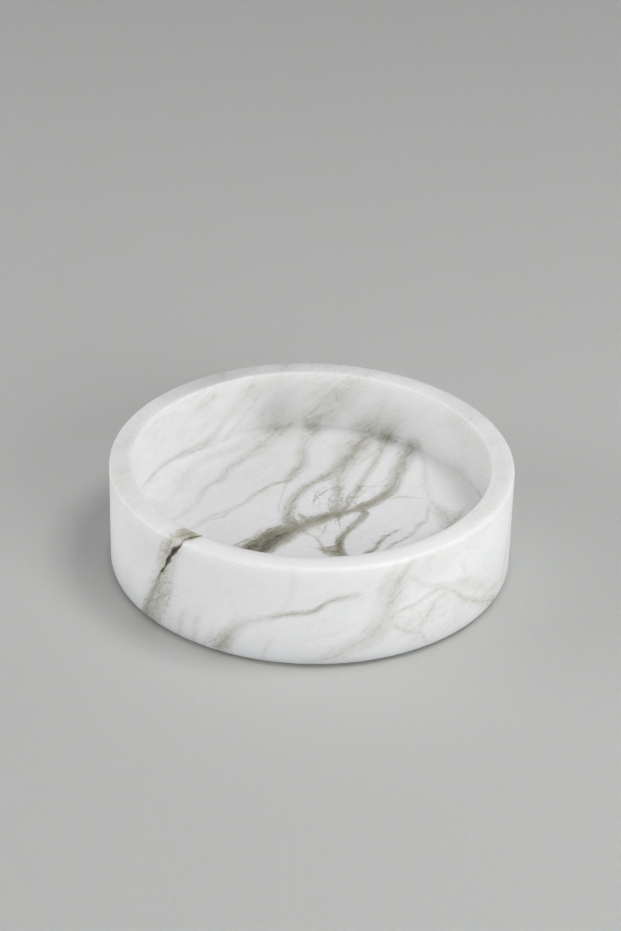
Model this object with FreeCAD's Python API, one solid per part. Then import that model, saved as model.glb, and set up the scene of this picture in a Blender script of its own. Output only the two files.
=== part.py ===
"""Round alabaster soap dish: a bowl turned from one block of stone, on self-adhesive foot pads.

Frame: millimetres, +Z up. The origin is on the turning axis, in the plane that the pads stand on.
"""

import FreeCAD
import Part
import math
import os

# Stone bowl
OUTER_DIAMETER = 130.0
STONE_HEIGHT = 35.0
WALL_THICKNESS = 7.3
FLOOR_THICKNESS = 13.5

# Rounded edges of the stone, as the lathe and the polishing pad leave them
RIM_OUTER_ROUND = 1.2
RIM_INNER_ROUND = 0.5
FLOOR_CORNER_ROUND = 0.9
BASE_EDGE_ROUND = 0.7

# Soft feet: a silicone disc stuck to the underside by a thinner, slightly smaller disc of adhesive
PAD_COUNT = 4
PAD_DIAMETER = 12.0
PAD_THICKNESS = 0.8
PAD_EDGE_ROUND = 0.3
PAD_INSET = 14.0
ADHESIVE_THICKNESS = 0.2
ADHESIVE_SETBACK = 0.4
FIRST_PAD_ANGLE = 45.0

# Places that follow from the sizes above
OUTER_RADIUS = OUTER_DIAMETER / 2
INNER_RADIUS = OUTER_RADIUS - WALL_THICKNESS
STONE_BOTTOM = PAD_THICKNESS + ADHESIVE_THICKNESS
STONE_FLOOR = STONE_BOTTOM + FLOOR_THICKNESS
STONE_TOP = STONE_BOTTOM + STONE_HEIGHT
PAD_RADIUS = PAD_DIAMETER / 2
PAD_CIRCLE_RADIUS = OUTER_RADIUS - PAD_INSET - PAD_RADIUS

ORIGIN = FreeCAD.Vector(0, 0, 0)
UP = FreeCAD.Vector(0, 0, 1)
FULL_TURN = 360.0
CUBIC_MM_PER_CM = 1000.0
PARTS_FOLDER = "parts"


def unit(vector):
    """The same direction, one millimetre long."""
    return vector * (1 / vector.Length)


def turned_solid(corners):
    """A solid of revolution about Z.

    corners run round half of the section as (radius, height, round): each is a square corner, and
    round is the radius of the arc that eases it, or 0 for a sharp one.
    """
    points = [FreeCAD.Vector(radius, 0, height) for radius, height, _ in corners]
    rounds = [rounding for _, _, rounding in corners]
    count = len(points)
    # The arc's middle lies on the corner's diagonal, this share of the radius in from the corner
    middle_share = 1 - math.sqrt(0.5)
    arrivals, departures, middles = [], [], []
    for i in range(count):
        before = unit(points[i] - points[i - 1])
        after = unit(points[(i + 1) % count] - points[i])
        arrivals.append(points[i] - before * rounds[i])
        departures.append(points[i] + after * rounds[i])
        middles.append(points[i] + (after - before) * (rounds[i] * middle_share))
    edges = []
    for i in range(count):
        if rounds[i] > 0:
            edges.append(Part.Arc(arrivals[i], middles[i], departures[i]).toShape())
        following = arrivals[(i + 1) % count]
        edges.append(Part.LineSegment(departures[i], following).toShape())
    section = Part.Face(Part.Wire(edges))
    return section.revolve(ORIGIN, UP, FULL_TURN)


def dish_body():
    """The stone bowl: straight outer wall, flat rim, and a straight-sided flat-bottomed hollow."""
    return turned_solid(
        [
            (0, STONE_BOTTOM, 0),
            (OUTER_RADIUS, STONE_BOTTOM, BASE_EDGE_ROUND),
            (OUTER_RADIUS, STONE_TOP, RIM_OUTER_ROUND),
            (INNER_RADIUS, STONE_TOP, RIM_INNER_ROUND),
            (INNER_RADIUS, STONE_FLOOR, FLOOR_CORNER_ROUND),
            (0, STONE_FLOOR, 0),
        ]
    )


def foot_pad():
    """A silicone disc on the Z axis, with its standing edge eased."""
    return turned_solid(
        [
            (0, 0, 0),
            (PAD_RADIUS, 0, PAD_EDGE_ROUND),
            (PAD_RADIUS, PAD_THICKNESS, 0),
            (0, PAD_THICKNESS, 0),
        ]
    )


def adhesive_disc():
    """The film of adhesive on top of a foot pad, up to the stone."""
    return turned_solid(
        [
            (0, PAD_THICKNESS, 0),
            (PAD_RADIUS - ADHESIVE_SETBACK, PAD_THICKNESS, 0),
            (PAD_RADIUS - ADHESIVE_SETBACK, STONE_BOTTOM, 0),
            (0, STONE_BOTTOM, 0),
        ]
    )


def foot_places():
    """Centres of the feet, evenly spaced on a circle under the dish."""
    places = []
    for i in range(PAD_COUNT):
        angle = math.radians(FIRST_PAD_ANGLE + i * FULL_TURN / PAD_COUNT)
        x = PAD_CIRCLE_RADIUS * math.cos(angle)
        y = PAD_CIRCLE_RADIUS * math.sin(angle)
        places.append(FreeCAD.Vector(x, y, 0))
    return places


def main():
    nodes = {"dish_body": dish_body()}
    for number, place in enumerate(foot_places(), start=1):
        nodes[f"foot_pad_{number}"] = foot_pad().translated(place)
        nodes[f"adhesive_disc_{number}"] = adhesive_disc().translated(place)
    os.makedirs(PARTS_FOLDER, exist_ok=True)
    for name, solid in nodes.items():
        if not solid.isValid():
            raise ValueError(f"{name} isn't a valid solid")
        solid.exportStep(os.path.join(PARTS_FOLDER, f"{name}.step"))
        print(f"{name}: {solid.Volume / CUBIC_MM_PER_CM:.3f} cm3")


main()
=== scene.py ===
"""Looks of a round soap dish turned from veined alabaster, standing on clear silicone pads."""

import bmesh
import bpy
import math
import numpy as np
from mathutils import Matrix, Vector


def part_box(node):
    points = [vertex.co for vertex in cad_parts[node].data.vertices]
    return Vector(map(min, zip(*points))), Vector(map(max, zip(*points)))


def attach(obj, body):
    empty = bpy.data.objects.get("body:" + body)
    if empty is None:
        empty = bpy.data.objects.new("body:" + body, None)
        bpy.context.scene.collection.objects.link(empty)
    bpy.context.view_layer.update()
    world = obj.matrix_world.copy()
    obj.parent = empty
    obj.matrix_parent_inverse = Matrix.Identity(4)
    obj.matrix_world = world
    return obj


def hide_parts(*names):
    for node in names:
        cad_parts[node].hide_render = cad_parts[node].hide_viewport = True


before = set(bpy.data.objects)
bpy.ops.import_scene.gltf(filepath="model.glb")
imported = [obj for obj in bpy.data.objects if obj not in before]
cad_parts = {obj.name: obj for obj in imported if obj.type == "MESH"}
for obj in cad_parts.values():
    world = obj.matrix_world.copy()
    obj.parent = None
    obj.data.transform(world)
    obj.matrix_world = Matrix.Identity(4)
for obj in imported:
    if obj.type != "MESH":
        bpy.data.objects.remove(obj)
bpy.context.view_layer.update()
stone_low, stone_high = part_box("dish_body")

MM = 0.001
FULL_TURN = 2 * math.pi
WHITE = (1, 1, 1, 1)

# The turned stone, in metres: its outside comes from the frame
OUTER_RADIUS = stone_high.x
BASE = stone_low.z
RIM = stone_high.z
WALL = 7.3 * MM
FLOOR_THICKNESS = 13.5 * MM
INNER_RADIUS = OUTER_RADIUS - WALL
FLOOR = BASE + FLOOR_THICKNESS
BASE_EDGE_ROUND = 0.7 * MM
RIM_OUTER_ROUND = 1.2 * MM
RIM_INNER_ROUND = 0.5 * MM
FLOOR_CORNER_ROUND = 0.9 * MM

# Fineness of the stone's mesh
STEPS_AROUND = 480
ROUND_STEPS = 5
MESH_SPACING = 0.75 * MM
BASE_SPACING = 3.0 * MM
MERGE_DISTANCE = 0.0001 * MM

# Camera, fitted to the outlines of the dish in the photograph
PHOTO_HEIGHT = 931
FOCAL_PIXELS = 2679.6
SENSOR = 36.0
NEAR_CLIP = 10 * MM
CAMERA_DISTANCE = 878.5 * MM
CAMERA_ELEVATION = math.radians(32.61)
CAMERA_TILT = math.radians(1.417)
CAMERA_AIM = Vector((-0.478 * MM, 0, BASE + 32.506 * MM))

# Board and lights
BOARD_SIZE = 6.0
AMBIENT = 0.3
SOFTBOX_DISTANCE = 1.1
SOFTBOX_AIM = Vector((0, 0, 15 * MM))

# The stone's faces in the order in which they meet. A vein colours its own face and the faces next to
# it, whose numbers are less than NEXT_FACE apart
FACES = ("floor", "inside", "rim", "outside", "base")
NEXT_FACE = 1.5

# How far a vein's colour reaches: times its half width, and millimetres more. It fades over the last
# share of that, and FAR_AWAY is the distance in millimetres that is stored where no vein is near
VEIN_REACH = 2.2
VEIN_MARGIN = 1.6
VEIN_FADE = 0.25
FAR_AWAY = 2200.0
ROUTE_STEPS = 5

# The stone's bedding: how it is turned, and how far streaks are drawn out along it
BEDDING_TURN = (0, math.radians(44), math.radians(145))
STREAK = (3.2, 3.2, 1.0)
FIBRE_STREAK = (9.0, 9.0, 1.0)

# Noises: scale per millimetre, detail and roughness. A noise's colour has three channels about a middle
SLOW_NOISE = (0.2, 4.0, 0.6)
QUICK_NOISE = (0.9, 4.0, 0.65)
FIBRE_NOISE = (1.4, 3.0, 0.6)
GRAIN_NOISE = (1.3, 2.0, 0.6)
CLOUD_NOISE = (0.09, 4.0, 0.55)
PATCH_NOISE = (0.07, 3.0, 0.5)
LONG_WISP_NOISE = (0.36, 4.0, 0.6)
SHORT_WISP_NOISE = (0.9, 4.0, 0.6)
POLISH_NOISE = (0.25, 4.0, 0.6)
CRACK_BEND_NOISE = (0.3, 2.0, 0.5)
CRACK_BREADTH_NOISE = (0.4, 2.0, 0.5)
SILICONE_NOISE = (0.5, 4.0, 0.6)
FILM_NOISE = (1.5, 3.0, 0.6)
BOARD_NOISE = (0.6, 3.0, 0.6)
NOISE_MIDDLE = 0.5
CHANNELS = 3

# Between which darknesses a vein turns firm, crisp and calm, and how little a calm one still varies
FIRM_VEINS = (0.2, 0.5)
CRISP_VEINS = (0.6, 0.95)
CALM_VEINS = (0.9, 1.15, 1.0, 0.25)

# How a vein wanders and swells. A pair is a share of its half width and millimetres more
SWAY_REACH = (0.6, 0.4)
FRAY_REACH = (0.6, 0.3)
RAGGED_SHARE = 0.25
SWELL = 0.6
FULLNESS = 1.15

# Where a vein's body begins and is complete, in shares of its width: if pale, firm and crisp
OUTER_SHARES = (2.2, 1.8, 1.4)
INNER_SHARES = (-0.6, 0.0, 0.4)
OUTER_MARGIN = 0.3
FIBRE_STRENGTH = 0.4
MOTTLE_STRENGTHS = (0.12, 0.6)
UNEVENNESS = 0.25

# Threads in a vein: their breadth, the edge threads' wandering and place, and the middle one's wandering
THREAD_BREADTH = (0.12, 0.14)
EDGE_THREADS = (1.2, 0.8)
CORE_WANDER = 2.0
THREAD_PATCHES = (-0.06, 0.1)
THREAD_STRENGTHS = (0.45, 0.3)

# The halo beside a vein, how much darker a thin vein is drawn, and how softly layers of veins meet
HALO_REACH = (2.2, 1.4)
HALO_STRENGTH = (0.3, 0.14)
THIN_VEINS = (0.45, 0.22, 1.0, 1.3)
VEIN_MELD = 0.08

# Faint lines between the veins
WISP_BREADTH = 0.04
LONG_WISP_DARKNESS = 0.2
SHORT_WISP_DARKNESS = 0.16

# The net of hairlines: its bends in millimetres and its scale
CRACK_BEND = (5, 5, 5)
CRACK_SCALE = 0.22

# Values carried from one range to another: from the first two to the last two
CRACK_BREADTH = (0.35, 0.65, 0.03, 0.09)
CLOUDINESS = (0.4, 0.72, 0.0, 0.22)
PATCHES = (0.4, 0.6, 0.15, 1.0)
NET_BESIDE_VEINS = (0.35, 0.75, 0.06, 0.22)
NET_IN_STAIN = (0.3, 0.7, 1.0, 0.25)
WHITE_IN_STAIN = (0.1, 0.6, 1.0, 0.1)
POLISH = (0.3, 0.7, 0.42, 0.54)
SILICONE_SHEEN = (0.3, 0.7, 0.28, 0.5)
FILM_SHEEN = (0.35, 0.65, 0.4, 0.65)

# Colour of the stone from its whitest to the darkest stain, by darkness. The whitest end shows under
# the whiter placed clouds, which are mostly painted light
WHITEST = -0.5
DARKEST = 1.4
STONE_COLOURS = [
    (WHITEST, (0.972, 0.974, 0.972)),
    (0.0, (0.868, 0.872, 0.876)),
    (0.2, (0.808, 0.810, 0.808)),
    (0.4, (0.741, 0.740, 0.722)),
    (0.5, (0.675, 0.671, 0.638)),
    (0.6, (0.590, 0.583, 0.543)),
    (0.8, (0.446, 0.433, 0.368)),
    (1.0, (0.346, 0.330, 0.258)),
    # The darkest stop colours the fissure's slit: a dark vein there, and painted shade in the crack
    (DARKEST, (0.095, 0.083, 0.062)),
]
FIBRE_DARKNESS = 0.3
GRAIN_DARKNESS = 0.08

# The cool grey that a greyer cloud of full strength multiplies the colour by, mostly as painted shade
CLOUD_AND_PAINTED_SHADE_GREY = (0.62, 0.632, 0.65, 1)

# Stone, silicone and board: how deep light scatters, each colour's share of that, and the surface
STONE_SCATTER = 10.0 * MM
STONE_SCATTER_TINT = (1.0, 0.95, 0.85)
STONE_IOR = 1.52
SILICONE_SCATTER = 1.0 * MM
SILICONE_CLOUDINESS = 0.8
SILICONE_IOR = 1.41
BOARD_SCATTER = 8.0 * MM
BOARD_SCATTER_TINT = (0.7, 0.75, 1.0)
BOARD_ROUGHNESS = 0.55

# Two shades of each of the plainer materials, by the value of their noise
SILICONE_COLOURS = [(0.3, (0.62, 0.63, 0.63)), (0.7, (0.78, 0.785, 0.78))]
FILM_COLOURS = [(0.35, (0.60, 0.60, 0.57)), (0.65, (0.74, 0.74, 0.71))]
BOARD_COLOURS = [(0.3, (0.558, 0.568, 0.555)), (0.7, (0.580, 0.590, 0.577))]

# Veins. Their routes were read from the photograph, and their widths and darkness adjusted
# against it in renders. Where the photograph doesn't show the stone, they are guessed. A vein runs over
# one or more faces, and each of its points is (first, second, half width in millimetres, darkness). On
# the floor and the base, first and second are x and y in millimetres. On the inside and the outside they
# are degrees round the axis from +X and millimetres up from the underside of the stone, and on the rim
# degrees and millimetres from the axis.
VEINS = {
    "trunk": [("floor", [
        (33.3, 45, 3.5, .46), (31.6, 39.5, 3.2, .48), (30.4, 34.5, 3, .49), (28.8, 29, 2.7, .5),
        (27.6, 23.5, 2.3, .52), (26.6, 18.5, 2.3, .59), (24.8, 14.8, 2.1, .63), (22, 11.2, 2, .67),
        (19, 8, 1.9, .69), (15.8, 5.3, 1.8, .72), (13, 3.6, 1.4, .71), (10, 2, 1.8, .65),
        (6.5, .2, 2.1, .69), (2.8, -2.2, 2.5, .67), (-1.3, -5.2, 3.2, .62), (-5.5, -8.3, 3.4, .72),
        (-9.3, -11.2, 4.2, .86), (-13, -15.3, 4.1, .95), (-16.2, -19.3, 4.1, .99), (-19.5, -23.5, 4.1, .99),
        (-25, -30, 4, .76), (-31, -37, 3.4, .63), (-36, -43.6, 3, .64),
    ]), ("inside", [
        (228, 15, 2.8, .62), (227.6, 18.5, 2.4, .55), (228.6, 22.5, 2, .5), (230, 26.5, 2.2, .5),
        (230.8, 30.5, 2.7, .52), (230.8, 34.3, 3, .58),
    ]), ("rim", [
        (231.7, 58.2, 3.5, .64), (231.2, 60.4, 3.4, .58), (230.6, 63, 3.2, .48),
    ]), ("outside", [
        (229.8, 33.8, 3.2, .44), (228.6, 30, 3.5, .44), (227.4, 25, 3.8, .44), (226.4, 19.5, 4.1, .44),
        (225.2, 15, 4.3, .45), (223.9, 10, 4.5, .47), (222.6, 5.5, 4.5, .51), (221.4, 1.5, 4.4, .54),
    ]), ("base", [
        (-46, -40, 3.6, .58), (-34, -31, 3.2, .55), (-18, -17, 2.8, .5), (-2, -3, 2.4, .48),
        (14, 12, 2.2, .45), (30, 29, 2, .4), (40, 44, 1.8, .35),
    ])],
    "trunk_end": [("floor", [
        (32.4, 42, 2, .41), (33.6, 45.6, 2.2, .41),
    ]), ("inside", [
        (52.5, 16, 3.9, .2), (50, 20, 3.5, .11), (48, 25, 2.6, .03), (46.5, 28, 1.8, 0),
    ])],
    # The seam's vein turns near black over the fissure: partly the dark vein, partly painted shade in the
    # crack
    "seam_vein_and_painted_slit_shade": [("rim", [
        (235, 58.2, .45, .94), (233.9, 60.2, .5, .97), (232.8, 62.8, .4, .83),
    ]), ("outside", [
        (232.8, 34.2, .35, .64), (232, 32.8, .3, .95), (230.7, 31.4, .8, 1.35), (229.7, 29.6, .65, 1.3),
        (229, 28.2, .5, 1), (228.3, 26.6, .7, 1.35), (227.5, 24.8, .45, 1.2), (226.7, 22.8, .25, .6),
        (225.9, 21.4, .35, 1.1), (225, 19.8, .35, .7), (224.2, 17, .8, .58), (222.6, 13.2, 1.2, .58),
        (221, 9.2, 1.6, .62), (219.6, 5.6, 2, .66), (218.6, 2.6, 2.3, .7), (218, .4, 2.4, .7),
    ])],
    "fork_left": [("floor", [
        (-4.5, -6.5, 2.2, .71), (-7.2, -3.5, 2.3, .65), (-7.4, 0, 1.9, .58), (-7, 4, 1.8, .54),
        (-6.4, 8, 1.7, .5), (-5.2, 11.8, 1.6, .5), (-3.6, 14.8, 1.5, .47), (-2, 17.6, 1.5, .47),
        (.4, 20.3, 1.4, .45), (3.2, 23.2, 1.6, .49), (6, 26.2, 2, .5), (8.3, 28.6, 2.2, .5),
    ])],
    "fork_bay": [("floor", [
        (-4.6, 2.2, .5, .23), (-3.8, .3, .8, .41), (-2.6, -1.2, 1.1, .49), (-1, -3.5, 1.2, .63),
    ])],
    "second_band": [("floor", [
        (8.6, 1.6, 2.2, .79), (8.2, 5, 2.2, .55), (8.5, 9.5, 1.8, .48), (8.8, 14.5, 1.6, .46),
        (8.9, 19.5, 2, .42), (8.6, 24.5, 2.7, .42), (9, 28.5, 3.4, .45), (10.6, 33.5, 3.6, .47),
        (12.2, 38.5, 3.8, .47), (14.2, 43, 4, .42), (16.3, 47, 4.2, .4), (17.6, 51, 4.3, .37),
        (18.4, 54, 4.3, .36),
    ]), ("inside", [
        (70.5, 16, 4.6, .31), (68, 20, 3.9, .25), (66, 25, 3.3, .2), (65.6, 30, 2.5, .12),
        (65.5, 34.5, 2.1, .1),
    ]), ("rim", [
        (65.5, 61, 1.6, .11),
    ]), ("outside", [
        (65.5, 33, 1.4, .17), (64, 26, 1.9, .26), (61, 17, 2.4, .31), (57, 8, 2.6, .31), (54, 1, 2.6, .31),
    ]), ("base", [
        (35, 48, 2, .28), (28, 38, 1.9, .28), (18, 22, 1.7, .25), (6, 5, 1.4, .2), (-8, -12, 1.1, .1),
    ])],
    "third_band": [("floor", [
        (10.3, 2.8, 1.6, .63), (11.6, 6.6, 1.8, .58), (13, 10, 1.5, .52), (14.4, 13.6, 1.4, .48),
        (15.3, 17.4, 1.4, .48), (16.4, 21.2, 1.3, .47), (17.6, 25, 1.2, .45), (19, 29, 1.3, .45),
        (20.4, 33, 1.3, .45), (21.8, 37, 1.4, .47), (23, 41, 1.8, .41), (24, 45, 2.2, .39),
        (25, 48.5, 2.9, .44), (25.6, 50.6, 3.2, .46),
    ]), ("inside", [
        (63.4, 15, 3.5, .39), (61.5, 18, 3.3, .32), (59.5, 21, 3.2, .24), (57.5, 24.5, 2.8, .15),
        (56, 28, 2.1, .07), (55, 31, 1.4, 0),
    ])],
    "right_band": [("floor", [
        (34, 45.5, 1.8, .31), (36.6, 41, 1.5, .28), (37.9, 36.5, 1.4, .3), (37.8, 31.5, 1.2, .31),
        (37.7, 26.5, 1.2, .33), (37.8, 21.5, 1.4, .31), (38.4, 17, 1.5, .3), (39.1, 13, 1.6, .3),
        (40.3, 9.7, 2.1, .31), (42, 6.5, 2.7, .36), (43.8, 2.5, 3.3, .4), (44.8, -1.5, 3.6, .46),
        (45, -6, 3.3, .44), (44, -12, 2.7, .4), (42, -19, 2.2, .31), (39, -26, 1.8, .19), (36, -32, 1.2, 0),
    ])],
    # Darkens the floor along its right side and front right, towards the wall
    "floor_right_darker_band": [("floor", [
        (50, 6, 2, .3), (48.3, 2.2, 2.7, .43), (45.8, -2, 2.7, .47), (43.5, -6, 2.4, .43),
        (40, -10, 2.4, .39), (35.5, -14, 2, .34), (30, -18, 1.7, .26), (25, -23, 1.3, .08),
    ])],
    "oval_top": [("floor", [
        (24.5, 11.2, .6, .35), (27, 12.4, .6, .33), (29.3, 13.2, .6, .33), (32, 13.2, .55, .31),
        (35, 12.7, .55, .3), (38, 12.9, .5, .27),
    ])],
    "oval_side": [("floor", [
        (38.6, 9.5, .6, .27), (38.4, 5.5, .5, .33), (38, 1.8, .5, .35), (37.6, -.8, .7, .35),
        (36.2, -2.8, .8, .41), (34.6, -4.8, .7, .33), (33.9, -7.5, .6, .35), (32.2, -10.3, .6, .39),
        (29.6, -13, .6, .41), (27, -15.6, .6, .39), (25.5, -17.8, .6, .35), (23.5, -21, .5, .27),
        (21, -26, .4, .16),
    ])],
    "front_right": [("floor", [
        (29.2, -6.4, .4, .27), (27.4, -8.5, .5, .35), (25.2, -10.4, .55, .39), (23.6, -12.4, .6, .43),
        (22.4, -14.8, .65, .43), (21.6, -17, .7, .43), (20.6, -19.4, .7, .47), (18.8, -21.3, .8, .58),
        (16, -25, .7, .39), (13, -30, .5, .23),
    ])],
    "drop": [("floor", [
        (16.2, 5.4, 1.1, .73), (17.6, 2.8, 1.3, .71), (17, 0, 1.3, .68), (15.6, -2.8, 1.2, .65),
        (13.8, -5.8, 1.1, .6), (11.8, -8.8, 1, .6), (10.3, -11.8, 1.1, .63), (9.6, -14.8, 1.2, .68),
        (9.4, -17.6, 1.3, .7), (9.5, -20.5, 1.4, .73), (9.9, -23.5, 1.5, .73), (10.5, -29, 1.5, .63),
        (11.5, -37, 1.2, .45), (11.5, -46, 1, .36), (10.5, -55.5, .9, .32),
    ]), ("inside", [
        (280.5, 17, 1.4, .2), (281, 24, 1.3, .13), (281.5, 29, .95, 0),
    ])],
    "drop_line": [("floor", [
        (14.9, 2, .35, .29), (14.2, -1.2, .35, .29), (13.2, -3.8, .35, .29), (12.2, -6.4, .3, .23),
    ])],
    "front_patch": [("floor", [
        (4.3, -20.5, .95, .47), (6.2, -21.3, 2.4, .52), (8.2, -21.8, 2.6, .55), (10, -22.5, 1.4, .53),
    ])],
    "patch_edge": [("floor", [
        (4.6, -19, .4, .4), (6.4, -18.7, .45, .53), (8, -17.9, .45, .53), (8.8, -16.8, .4, .4),
    ])],
    "pebble_edge": [("floor", [
        (-2.2, -10.3, .5, .47), (-.4, -11.4, .5, .39), (1.2, -12.6, .5, .39), (2.4, -14.2, .5, .39),
        (3.2, -16.4, .6, .39), (3.9, -18.6, .7, .43), (4.4, -20.6, .8, .54),
    ])],
    "pebble_line": [("floor", [
        (5.2, -5.2, .25, .27), (4.6, -8, .25, .31), (4, -10.8, .25, .31), (2.8, -12.8, .3, .35),
    ])],
    "pebble_notch": [("floor", [(.8, -7.2, .5, .35), (2.4, -7, .5, .39), (2.9, -8.6, .4, .31)])],
    "crack_a": [("floor", [
        (.8, 9.5, .2, .24), (2, 11.8, .25, .32), (3.4, 13.8, .25, .32), (4.8, 15.8, .25, .34),
        (6.2, 17.2, .25, .32), (7.6, 18.2, .25, .29),
    ])],
    "crack_b": [("floor", [
        (5.6, 7, .2, .19), (5.9, 10.5, .25, .29), (6.6, 13, .25, .32), (7.8, 15, .25, .29),
    ])],
    "crack_c": [("floor", [(.7, 7, .2, .19), (1, 10, .25, .24), (1.4, 13, .2, .24), (2, 16, .2, .13)])],
    "crack_d": [("floor", [
        (3.2, 3.2, .25, .21), (2.2, 5.5, .25, .21), (3, 8, .2, .19), (2.4, 10.6, .2, .13),
    ])],
    "crack_e": [("floor", [
        (10.6, 8, .25, .29), (11.4, 11, .3, .32), (12.6, 14, .25, .29), (13.4, 16.5, .25, .21),
    ])],
    "crack_f": [("floor", [
        (-9.5, .5, .25, .22), (-10.5, 3, .3, .24), (-10.3, 7, .3, .24), (-9.5, 12, .3, .22),
        (-9, 16, .3, .22), (-8.5, 19, .3, .22),
    ])],
    "crack_g": [("floor", [
        (17.2, 14.8, .3, .24), (18.2, 17.2, .35, .28), (19.8, 19.1, .35, .3), (22, 19.7, .35, .28),
        (24.2, 20.4, .35, .26), (26, 20.6, .3, .22),
    ])],
    "crack_h": [("floor", [
        (12.6, 30.5, .4, .24), (14.2, 32.6, .5, .28), (16.2, 34.8, .5, .3), (18, 37.4, .55, .32),
        (19.8, 39.6, .6, .32), (21.4, 41.8, .6, .32), (22.4, 44.4, .6, .36),
    ])],
    "crack_i": [("floor", [
        (28.4, 36.5, .3, .22), (27.2, 33.5, .3, .24), (26.7, 30.8, .35, .24), (26.2, 27.6, .35, .24),
        (25, 25.2, .3, .24), (23.8, 23, .3, .22), (21, 21.2, .25, .14),
    ])],
    "trunk_hair": [("floor", [
        (-25.5, -20.5, .4, .39), (-22.5, -17.6, .45, .47), (-19.5, -15, .4, .47), (-16.5, -12.5, .3, .39),
    ])],
    "left_long": [("floor", [
        (-38.3, -10.2, .75, .27), (-36, -7, .75, .29), (-34, -4.2, .75, .29), (-31.8, -1.3, .65, .31),
        (-29.2, .4, .65, .31), (-26.6, 1.9, .75, .34), (-24.2, 4.4, .75, .34), (-21.6, 6.9, .75, .34),
        (-20.1, 9.5, .8, .34), (-18.6, 12, .9, .34), (-16.6, 14.5, .9, .34), (-14.6, 17.1, .75, .33),
        (-12.8, 19.4, .75, .33), (-10.4, 20.6, .75, .34), (-8.6, 21.1, 1, .41), (-7.3, 23, 1.6, .43),
        (-6.1, 26.2, 1.8, .43), (-4.8, 29.4, 1.8, .43), (-3.4, 33.2, 1.9, .42), (-3.1, 37.5, 1.9, .42),
        (-3.2, 41.5, 1.8, .42), (-2.6, 45.8, 2, .35), (-1.5, 49.8, 2.3, .35), (-.2, 53.4, 2.7, .36),
        (.8, 56.4, 2.9, .4),
    ]), ("inside", [
        (88.5, 16, 4.3, .3), (86, 18.5, 4.5, .25), (84, 21.5, 4.5, .2), (82, 24.5, 4.6, .22),
        (79, 28, 4.4, .21), (76, 31.5, 4.2, .19), (73.5, 34.5, 3.9, .15),
    ]), ("rim", [
        (72.5, 61, 2.3, .19),
    ]), ("outside", [
        (72, 33, 2.4, .26), (70, 27, 2.6, .31), (67, 18, 2.8, .31), (63, 9, 2.6, .31), (60, 1, 2.6, .31),
    ])],
    "left_twig": [("floor", [
        (-26.6, 1.7, .35, .31), (-27.4, -.4, .35, .31), (-28.6, -2, .4, .31), (-30.4, -3, .4, .31),
        (-32.4, -3.9, .35, .3), (-34, -4.6, .3, .23),
    ])],
    "left_second": [("floor", [
        (-46, -6.5, .55, .1), (-43.6, -3.4, .8, .22), (-41.4, -1.2, .9, .23), (-39.7, 1.2, .9, .23),
        (-38.2, 4.4, .9, .24), (-37.1, 7.2, 1, .26), (-36.5, 9.8, .9, .28), (-35.6, 12.8, .8, .29),
        (-34.7, 15.6, .7, .27), (-33.4, 17.8, .8, .32), (-31.4, 19.9, 1.1, .37), (-30, 22, 1.3, .37),
        (-29, 25, 1.3, .35), (-27.8, 28.4, 1.3, .34), (-26, 31, 1.4, .34), (-24.2, 33.4, 1.6, .31),
        (-22.4, 36.2, 1.8, .28), (-20.6, 39, 1.8, .26), (-18.8, 42, 1.8, .26), (-17, 45.6, 2, .29),
        (-15, 49.6, 2.4, .31), (-13.2, 53.4, 2.8, .35), (-12.4, 55.4, 3.3, .4),
    ]), ("inside", [
        (102.5, 16, 6.6, .25), (101, 19, 6.2, .22), (99.8, 22, 5.6, .18), (99.6, 25.5, 4.6, .13),
        (100.4, 29, 4.4, .11), (101.4, 33, 4.6, .1),
    ]), ("rim", [
        (99, 61, 3.1, .23),
    ]), ("outside", [
        (98, 34, 2.6, .31), (97, 30, 2.4, .26), (95, 22, 2.6, .26), (92, 12, 2.6, .26), (89, 2, 2.4, .26),
    ]), ("base", [
        (0, 60, 2, .25), (-8, 47, 1.8, .25), (-20, 28, 1.6, .25), (-33, 6, 1.4, .22), (-46, -14, 1.2, .12),
    ])],
    "left_broad": [("floor", [
        (-46.5, 8, .9, .12), (-44.5, 12.5, 1.3, .17), (-43.3, 17, 1.4, .21), (-42.5, 21.5, 1.5, .23),
        (-41, 26, 1.7, .23), (-38.8, 30.4, 1.8, .23), (-36.5, 33.6, 1.8, .24), (-33.6, 36.4, 1.8, .24),
        (-30.6, 38.8, 1.8, .23), (-27.4, 41.6, 1.9, .23), (-24, 44.8, 2.1, .23), (-20.8, 48.2, 2.2, .24),
        (-17.6, 51.8, 2.3, .27), (-15.2, 54.6, 2.5, .32),
    ])],
    "left_far": [("floor", [
        (-54.5, 15, .55, .1), (-53.2, 20.5, .8, .22), (-52, 24.5, .9, .23), (-50.6, 28.6, .9, .23),
        (-48.8, 32, .9, .24), (-46.4, 34.2, .9, .26), (-44, 35.6, .9, .28), (-42, 37.6, 1, .31),
        (-40.4, 39.8, .9, .32), (-37.8, 41.2, .8, .32), (-36.2, 43, .8, .32),
    ]), ("inside", [
        (126.3, 15, 1.1, .28), (124.6, 16.4, 1.1, .28), (122.6, 18.6, 1.2, .26), (120.4, 21.2, 1.2, .25),
        (117.6, 23, 1.2, .24), (115.2, 24.6, 1.4, .14), (113.2, 28, 1.6, .15), (111.6, 31, 1.6, .14),
        (110.2, 34.4, 1.6, .12),
    ]), ("rim", [
        (109.5, 61, 1.2, .11),
    ]), ("outside", [
        (109, 33, 1.2, .24), (107, 26, 1.4, .26), (104, 16, 1.6, .26), (101, 6, 1.6, .26),
        (99.5, 1, 1.4, .26),
    ])],
    "left_link": [("floor", [
        (-36, 41.6, .55, .2), (-33.8, 43.4, .55, .23), (-31.8, 45.8, .65, .24), (-29.8, 47.6, .55, .24),
    ]), ("inside", [
        (119.5, 15, .8, .22), (116.5, 17.5, .8, .2), (114.5, 20, .9, .18), (112, 22.6, .9, .17),
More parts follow.
